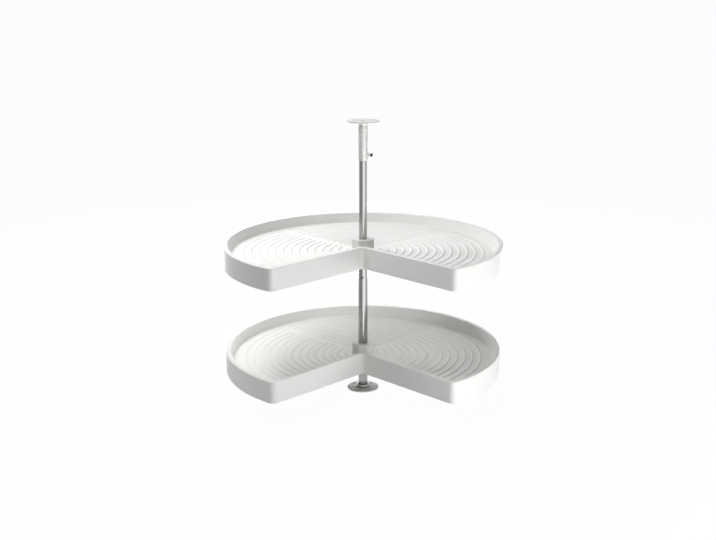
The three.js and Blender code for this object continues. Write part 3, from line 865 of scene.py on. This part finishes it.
def make_hub(node, shaft):
    """A hub as one closed surface: octagon outside, round hole for the pole in its top plate,
    and a tube that goes down through the tray. Its upper edges are quarter circles."""
    low, high = heights(node)
    floor = heights(node.replace("hub", "tray"))[1] - FLOOR_DEPTH + HUB_SEAT_GAP
    around = octagon(0.0)
    directions = around / np.linalg.norm(around, axis=1)[:, None]
    turns = np.linspace(0.0, math.pi / 2, HUB_EDGE_STEPS + 1)
    rising, falling = 1 - np.cos(turns), 1 - np.sin(turns)
    outer_edge = zip(HUB_EDGE * rising, HUB_EDGE * falling)
    hole_edge = zip(HUB_HOLE_EDGE * falling, HUB_HOLE_EDGE * rising)
    hole = shaft + HUB_HOLE_GAP
    stations = [
        (around, floor),
        *((octagon(inset), high - drop) for inset, drop in outer_edge),
        *((directions * (hole + out), high - drop) for out, drop in hole_edge),
        (directions * hole, high - HUB_TOP),
        (directions * HUB_BORE, high - HUB_TOP),
        (directions * HUB_BORE, low + HUB_BORE_CHAMFER),
        (directions * (HUB_BORE + HUB_BORE_CHAMFER), low),
        (directions * (HUB_TUBE - HUB_TUBE_CHAMFER), low),
        (directions * HUB_TUBE, low + HUB_TUBE_CHAMFER),
        (directions * HUB_TUBE, floor),
    ]
    # The stations go up the outside first, so their order is turned for faces that point out.
    points = np.stack([at_height(plan, height) for plan, height in stations[::-1]])
    faces = grid_faces(len(points), len(around), close_rows=True)
    return fit_piece(node, "block", points, [faces], "hub_plastic")


HUB_SCREWS = 4
HUB_SCREW_RADIUS = 1.8
HUB_SCREW_HEAD = 3.6
HUB_SCREW_HEAD_HEIGHT = 2.4
HUB_SCREW_POINT = 2.0
HUB_SCREW_PIT = 1.1
HUB_SCREW_SIDES = 32


def make_hub_screw(node):
    """A pan-head screw seen from below, with a cross recess drawn as a square pit."""
    low, high = span(node)
    bottom, top = low[2], high[2]
    profile = rounded([
        (0.0, bottom + HUB_SCREW_PIT, 0.0),
        (HUB_SCREW_PIT, bottom + HUB_SCREW_PIT, 0.0),
        (1.3, bottom, 0.0),
        (HUB_SCREW_HEAD, bottom, 1.1),
        (HUB_SCREW_HEAD, bottom + HUB_SCREW_HEAD_HEIGHT, 0.3),
        (HUB_SCREW_RADIUS, bottom + HUB_SCREW_HEAD_HEIGHT, 0.0),
        (HUB_SCREW_RADIUS, top - HUB_SCREW_POINT, 0.0),
        (0.0, top, 0.0),
    ])
    fit_turned(node, "turned", profile, "screw_steel", sides=HUB_SCREW_SIDES,
               beside=(low + high)[:2] / 2, polygon=[4] * 3 + [0] * (len(profile) - 3))


def make_foot_bush(node):
    """Flanged bush in the lower end of a hub's tube."""
    low, high = heights(node)
    bore, body, flange = reach("lower_pole") + RUNNING_GAP, HUB_BORE - RUNNING_GAP, low + 2.0
    fit_turned(node, "turned", rounded([
        (bore, low, 0.4), (HUB_TUBE, low, 0.6), (HUB_TUBE, flange, 0.3), (body, flange, 0.0),
        (body, high, 0.3), (bore, high, 0.3),
    ]), "bearing_plastic")


def make_tray_set(prefix, shaft):
    """A tray and its hub, which turns round a shaft of the given radius."""
    make_tray(f"{prefix}_tray")
    make_webs(f"{prefix}_tray")
    make_hub(f"{prefix}_hub", shaft)
    make_foot_bush(f"{prefix}_hub_foot_bush")
    for number in range(1, HUB_SCREWS + 1):
        make_hub_screw(f"{prefix}_hub_screw_{number}")


# ---- Pole ----

POLE_WALL = 1.7
INNER_POLE_WALL = 1.5
TUBE_EDGE = 0.35
TUBE_SIDES = 128
TUBE_SIDE = (8.0, 16.0)  # from the axis, where a hole through one side of a tube starts and ends
COLLAR_SIDE = (10.0, 25.0)
SCREW_CHAMFER = 0.3
SOCKET_RADIUS = 1.6
SOCKET_CHAMFER = 0.15
SOCKET_DEPTH = 1.4


def make_ring(node, bore, edge, finish, **shape):
    """A ring or tube between a node's lowest and highest point, with rounded edges."""
    low, high = heights(node)
    outer = reach(node)
    fit_turned(node, "turned", rounded([
        (bore, low, edge), (outer, low, edge), (outer, high, edge), (bore, high, edge),
    ]), finish, **shape)


def cross_hole(radius, start, end, axis):
    """A plain cutter whose axis leaves the pole."""
    profile = [(0.0, start), (radius, start), (radius, end), (0.0, end)]
    return turned("cutter", profile, None, sides=40, axis=axis)


def make_set_screw(node, radius, start, end, axis):
    """A set screw with a chamfered end and a hexagon socket."""
    floor = end - SOCKET_DEPTH
    fit_turned(node, "turned", [
        (0.0, start), (radius, start), (radius, end - SCREW_CHAMFER),
        (radius - SCREW_CHAMFER, end), (SOCKET_RADIUS + SOCKET_CHAMFER, end),
        (SOCKET_RADIUS, end - SOCKET_CHAMFER), (SOCKET_RADIUS, floor), (0.0, floor),
    ], "screw_steel", sides=48, axis=axis, polygon=[0] * 4 + [6] * 4)


FIXING_ANGLES = (45.0, 135.0, 225.0, 315.0)
FIXING_CIRCLE = 33.0
FIXING_HOLE = 2.6
FIXING_SINK = 4.8
FIXING_SIDES = 32
FLANGE_THICKNESS = 3.0
FLANGE_EDGE = 0.9
BOSS_RADIUS = 18.5
STUD_HOLE = 8.3  # in the washer and the plug, which the base's stud goes through
PLUG_LIP = 1.8
NECK_HOLE = 4.5  # through the neck and the top flange
NECK_RADIUS = 12.2
GROOVE_RADIUS = 12.6
GROOVE_DEPTH = 0.6


def fixing_cutters(face, inwards):
    """Countersunk holes that open on a face and narrow in the given direction."""
    depth = FIXING_SINK - FIXING_HOLE
    profile = np.array([
        (0.0, -1.0), (FIXING_SINK + 1.0, -1.0), (FIXING_HOLE, depth),
        (FIXING_HOLE, FLANGE_THICKNESS + 1.0), (0.0, FLANGE_THICKNESS + 1.0),
    ])
    profile = profile * (1.0, inwards) + (0.0, face)
    if inwards < 0:
        profile = profile[::-1]
    places = arc_points(FIXING_CIRCLE, np.radians(FIXING_ANGLES))
    return [turned("cutter", profile, None, FIXING_SIDES, beside=place) for place in places]


def make_base_flange():
    """Pressed disc with a raised boss whose foot is a soft bend."""
    low, high = heights("base_flange")
    radius, plate = reach("base_flange"), low + FLANGE_THICKNESS
    fit_turned("base_flange", "pressed", rounded([
        (0.0, low, 0.0), (radius, low, 0.3), (radius, plate, FLANGE_EDGE),
        (BOSS_RADIUS + 0.9, plate, 1.6), (BOSS_RADIUS, high, 1.0), (0.0, high, 0.0),
    ]), "pressed_steel", fixing_cutters(plate, -1.0), sides=TUBE_SIDES)


def make_top_flange():
    """Disc under the cabinet's top, with the neck's hole and a turned groove round it."""
    low, high = heights("top_flange")
    radius, groove, sunk = reach("top_flange"), GROOVE_RADIUS, high - GROOVE_DEPTH
    fit_turned("top_flange", "pressed", rounded([
        (NECK_HOLE, low, 0.2), (radius, low, FLANGE_EDGE), (radius, high, 0.3),
        (groove + 1.2, high, 0.2), (groove + 0.8, sunk, 0.2), (groove, sunk, 0.2),
        (groove - 0.4, high, 0.2), (NECK_HOLE, high, 0.6),
    ]), "top_steel", fixing_cutters(low, 1.0), sides=TUBE_SIDES)


def make_foot():
    """The base flange, the pale washer on its boss, and the plug in the pole's lower end."""
    make_base_flange()
    make_ring("foot_washer", STUD_HOLE, 0.5, "bearing_plastic")
    low, high = heights("foot_plug")
    outer, lip = reach("foot_plug"), low + PLUG_LIP
    body = outer - POLE_WALL - RUNNING_GAP
    fit_turned("foot_plug", "moulded", rounded([
        (STUD_HOLE, low, 0.3), (outer, low, 0.5), (outer, lip, 0.4), (body, lip, 0.0),
        (body, high, 0.6), (STUD_HOLE, high, 0.3),
    ]), "black_plastic")


COLLAR_SCREW_RADIUS = 2.5


def make_pole():
    """Both tubes with the set screw that holds them, the ring clamped on the lower one with its
    screw at the back, and the washers that the trays turn on."""
    outer, inner = reach("lower_pole"), reach("upper_pole")
    low, high = span("pole_lock_screw")
    middle, radius = (low + high) / 2, (high[2] - low[2]) / 2
    axis = (math.degrees(angle_of(middle)), middle[2])
    hole = cross_hole(radius + RUNNING_GAP, *TUBE_SIDE, axis)
    make_ring("lower_pole", outer - POLE_WALL, TUBE_EDGE, "plated_tube",
              sides=TUBE_SIDES, holes=[hole])
    make_ring("upper_pole", inner - INNER_POLE_WALL, TUBE_EDGE, "plated_tube", sides=TUBE_SIDES)
    end = math.floor(reach("pole_lock_screw") * 10) / 10  # its corners reach a little further
    make_set_screw("pole_lock_screw", radius, inner + RUNNING_GAP, end, axis)

    around_pole = outer + RUNNING_GAP
    axis = (90.0, sum(heights("lower_collar")) / 2)
    hole = cross_hole(COLLAR_SCREW_RADIUS + RUNNING_GAP, *COLLAR_SIDE, axis)
    make_ring("lower_collar", around_pole, 0.8, "top_steel", holes=[hole])
    make_set_screw("lower_collar_screw", COLLAR_SCREW_RADIUS, around_pole,
                   reach("lower_collar"), axis)
    make_ring("lower_thrust_washer", around_pole, 0.4, "bearing_plastic")
    make_ring("upper_thrust_washer", inner + RUNNING_GAP, 0.4, "bearing_plastic")


# ---- Telescopic head ----

THREAD_PITCH = 0.8
THREAD_DEPTH = 0.35
THREAD_STEPS = 6
LOCK_BORE = 2.8  # of the nut, the sleeve's hole and the knob
NECK_SHOULDER = 1.4
KNOB_SOCKET = 3.3  # how deep the screw goes into the knob
KNOB_CORE = 3.3  # radius inside the flutes
KNOB_FLUTES = 10
KNOB_FLUTE_DEPTH = 0.35


def make_lock_screw(axis):
    """A threaded rod: its radius goes up and down once per pitch along a helix."""
    low, high = span("lock_screw")
    radius = (high[2] - low[2]) / 2
    along = np.arange(low[0], high[0], THREAD_PITCH / THREAD_STEPS)
    profile = np.stack([np.full(len(along), radius), along], axis=1)
    profile = np.concatenate([[[0.0, low[0]]], profile, [[0.0, high[0]]]])

    def thread(angles, rows):
        turns = rows[:, 1:] / THREAD_PITCH - angles / (2 * math.pi)
        wave = np.abs((turns % 1.0) * 2.0 - 1.0)
        return -THREAD_DEPTH * wave * (rows[:, :1] > 0)

    fit_turned("lock_screw", "threaded", profile, "satin_tube",
               sides=36, axis=axis, flute=thread)


def make_lock_nut(axis):
    """Hexagon nut on the sleeve, chamfered where the screw leaves it."""
    low, high = span("lock_nut")
    corner = max(high[2] - low[2], high[1] - low[1]) / 2
    start, end = reach("top_sleeve") - 0.5, high[0]
    fit_turned("lock_nut", "pressed", [
        (LOCK_BORE, start), (corner, start), (corner, end - 0.6), (corner * 0.9, end),
        (LOCK_BORE + 0.4, end), (LOCK_BORE, end - 0.4),
    ], "satin_tube", sides=72, axis=axis, polygon=[0, 6, 6, 0, 0, 0])


def make_lock_knob(axis):
    """Black knob moulded on the screw: a grip with shallow flutes and a softly rounded end."""
    low, high = span("lock_knob")
    radius, start, end = (high[2] - low[2]) / 2, low[0], high[0]
    profile = rounded([
        (0.0, start + KNOB_SOCKET, 0.0), (LOCK_BORE, start + KNOB_SOCKET, 0.0),
        (LOCK_BORE, start, 0.2), (radius, start, 0.5), (radius, end, 1.3), (0.0, end, 0.0),
    ])

    def flute(angles, rows):
        grip = np.clip((rows[:, :1] - KNOB_CORE) / 0.8, 0.0, 1.0)
        return -KNOB_FLUTE_DEPTH * grip * np.sin(KNOB_FLUTES * angles / 2) ** 8

    fit_turned("lock_knob", "moulded", profile, "black_plastic",
               sides=120, axis=axis, flute=flute)


def make_head():
    """The sleeve, the neck that stands in it with a shoulder, the top flange, and the locking
    screw on the sleeve's side."""
    bore = reach("top_sleeve") - POLE_WALL
    axis = (0.0, sum(heights("lock_knob")) / 2)
    hole = cross_hole(LOCK_BORE, *TUBE_SIDE, axis)
    make_ring("top_sleeve", bore, 0.7, "satin_tube", sides=TUBE_SIDES, holes=[hole])
    low, high = heights("top_neck")
    body, shoulder = bore - RUNNING_GAP, heights("top_sleeve")[1] + RUNNING_GAP + NECK_SHOULDER
    fit_turned("top_neck", "turned", rounded([
        (NECK_HOLE, low, 0.0), (body, low, 0.4), (body, shoulder, 0.2),
        (NECK_RADIUS, shoulder, 0.3), (NECK_RADIUS, high - 1.2, 0.3),
        (NECK_RADIUS - 0.8, high, 0.3), (NECK_HOLE, high, 0.0),
    ]), "satin_tube", sides=TUBE_SIDES)
    make_top_flange()
    make_lock_nut(axis)
    make_lock_screw(axis)
    make_lock_knob(axis)


# ---- Pieces that keep their CAD mesh ----


def dress_cad_nodes():
    """Gives the pieces hidden inside the hubs and the foot the finish of their slot."""
    for node in ("base_stud", "lower_hub_top_bush", "upper_hub_top_bush"):
        mesh = frame["nodes"][node].data
        mesh.materials.clear()
        mesh.materials.append(MATERIALS[SLOT_OF[node]])


# ---- Stage and light ----

FLOOR_SIZE = 300.0  # metres, so that it fills the view up to its top
FLOOR_COLOUR = 0xF2F2F2
FLOOR_GAP = 0.2  # millimetres below the base flange, so that the two don't share a plane
WHITE_SHARE = 0.975  # of the floor, seen straight or in metal, that is plain white
PLAIN_WHITE = (1.0, 1.0, 1.0, 1.0)


def seen_directly(tree):
    """1 for rays from the camera, for mirror rays and for rays through glass."""
    path = add(tree, "ShaderNodeLightPath").outputs
    either = add(tree, "ShaderNodeMath", {0: path["Is Camera Ray"], 1: path["Is Glossy Ray"]},
                 operation="MAXIMUM")
    return add(tree, "ShaderNodeMath", {0: either, 1: path["Is Transmission Ray"]},
               operation="MAXIMUM")


def make_floor():
    material, tree, _ = start_material("matt_white_floor")
    share = add(tree, "ShaderNodeMath", {0: seen_directly(tree), 1: WHITE_SHARE},
                operation="MULTIPLY")
    mixed = add(tree, "ShaderNodeMixShader", {
        0: share,
        1: add(tree, "ShaderNodeBsdfDiffuse", {"Color": linear(FLOOR_COLOUR)}),
        2: add(tree, "ShaderNodeEmission", {"Color": PLAIN_WHITE, "Strength": 1.0}),
    })
    add(tree, "ShaderNodeOutputMaterial", {"Surface": mixed})
    corners = FLOOR_SIZE / 2 / MM * np.array([(-1, -1), (1, -1), (1, 1), (-1, 1)])
    points = at_height(corners, cad_box[0][2] / MM - FLOOR_GAP)
    make_piece("floor", points, [np.array([[0, 1, 2, 3]])], material)


WORLD_LIGHT = 0.10


def make_world():
    """A white room: plain white where it is seen, and a low even light on the object."""
    world = bpy.data.worlds.new("studio")
    world.use_nodes = True
    bpy.context.scene.world = world
    tree = world.node_tree
    tree.nodes.clear()
    strength = add(tree, "ShaderNodeMapRange", {
        "Value": seen_directly(tree), LOW: WORLD_LIGHT, HIGH: 1.0,
    })
    background = add(tree, "ShaderNodeBackground", {"Color": PLAIN_WHITE, "Strength": strength})
    add(tree, "ShaderNodeOutputWorld", {"Surface": background})


# Each lamp: azimuth in degrees from the camera's side towards +X, elevation, distance, width,
# height in metres, and power in watts. All look at the middle of the fitting. Metal mirrors
# the boards below instead of the lamps.
LAMPS = {
    "key_left": (-100.0, 55.0, 2.0, 0.5, 0.5, 12.1),
    "near_left": (-126.0, 35.0, 1.1, 0.35, 0.35, 4.2),
    "front_left": (-40.0, 40.0, 2.6, 1.0, 1.0, 6.5),
    "back": (180.0, 20.0, 2.6, 1.0, 1.0, 25.0),
    "top": (0.0, 88.0, 2.0, 0.8, 0.8, 8.5),
    "low_right": (48.0, -3.0, 1.6, 1.2, 0.38, 13.5),
}
LAMPS_AIM = np.array([0.0, 0.0, 0.3])


def make_lamp(name, azimuth, elevation, distance, width, height, power):
    data = bpy.data.lights.new(name, "AREA")
    data.shape = "RECTANGLE"
    data.size, data.size_y = width, height
    data.energy = power
    lamp = show(name, data)
    turn, tilt = math.radians(azimuth), math.radians(elevation)
    direction = np.array([
        math.sin(turn) * math.cos(tilt), -math.cos(turn) * math.cos(tilt), math.sin(tilt),
    ])
    lamp.location = LAMPS_AIM + distance * direction
    lamp.rotation_euler = (math.pi / 2 - tilt, 0.0, turn)
    lamp.visible_camera = lamp.visible_glossy = False


# Boards that only metal and gloss mirror, as a photographer sets them up round a chromed tube:
# first and last azimuth in degrees, (distance from the pole, height) of both edges in
# millimetres, and brightness. The lying ones reach from the standing ones towards the foot,
# and the low one stands behind the fitting.
BOARD_STEPS = 25
BOARDS = {
    "white_board": (-4.0, 64.0, (1400.0, 5.0), (1400.0, 900.0), 2.15),
    "white_board_lying": (-4.0, 64.0, (420.0, 5.0), (1400.0, 5.0), 2.3),
    "grey_board": (-112.0, -20.0, (1400.0, 5.0), (1400.0, 900.0), 0.5),
    "grey_board_lying": (-112.0, -20.0, (90.0, 5.0), (1400.0, 5.0), 0.5),
    "low_board": (140.0, 220.0, (1400.0, 5.0), (1400.0, 200.0), 14.0),
}


def make_board(name, first, last, start, end, brightness):
    """A strip swept round the pole between two edges, which throws no shadow and no light."""
    material, tree, _ = start_material(name)
    glow = add(tree, "ShaderNodeEmission", {"Color": PLAIN_WHITE, "Strength": brightness})
    add(tree, "ShaderNodeOutputMaterial", {"Surface": glow})
    turns = np.radians(np.linspace(first, last, BOARD_STEPS))
    points = np.stack([
        at_height(distance * np.stack([np.sin(turns), -np.cos(turns)], 1), height)
        for distance, height in (start, end)
    ], axis=1)
    board = make_piece(name, points, [grid_faces(len(turns), 2, close_columns=False)], material)
    board.visible_camera = board.visible_diffuse = board.visible_shadow = False


make_tray_set("lower", reach("lower_pole"))
make_tray_set("upper", reach("upper_pole"))
make_foot()
make_pole()
make_head()
dress_cad_nodes()
make_floor()
make_world()
for lamp_name, values in LAMPS.items():
    make_lamp(lamp_name, *values)
for board_name, values in BOARDS.items():
    make_board(board_name, *values)
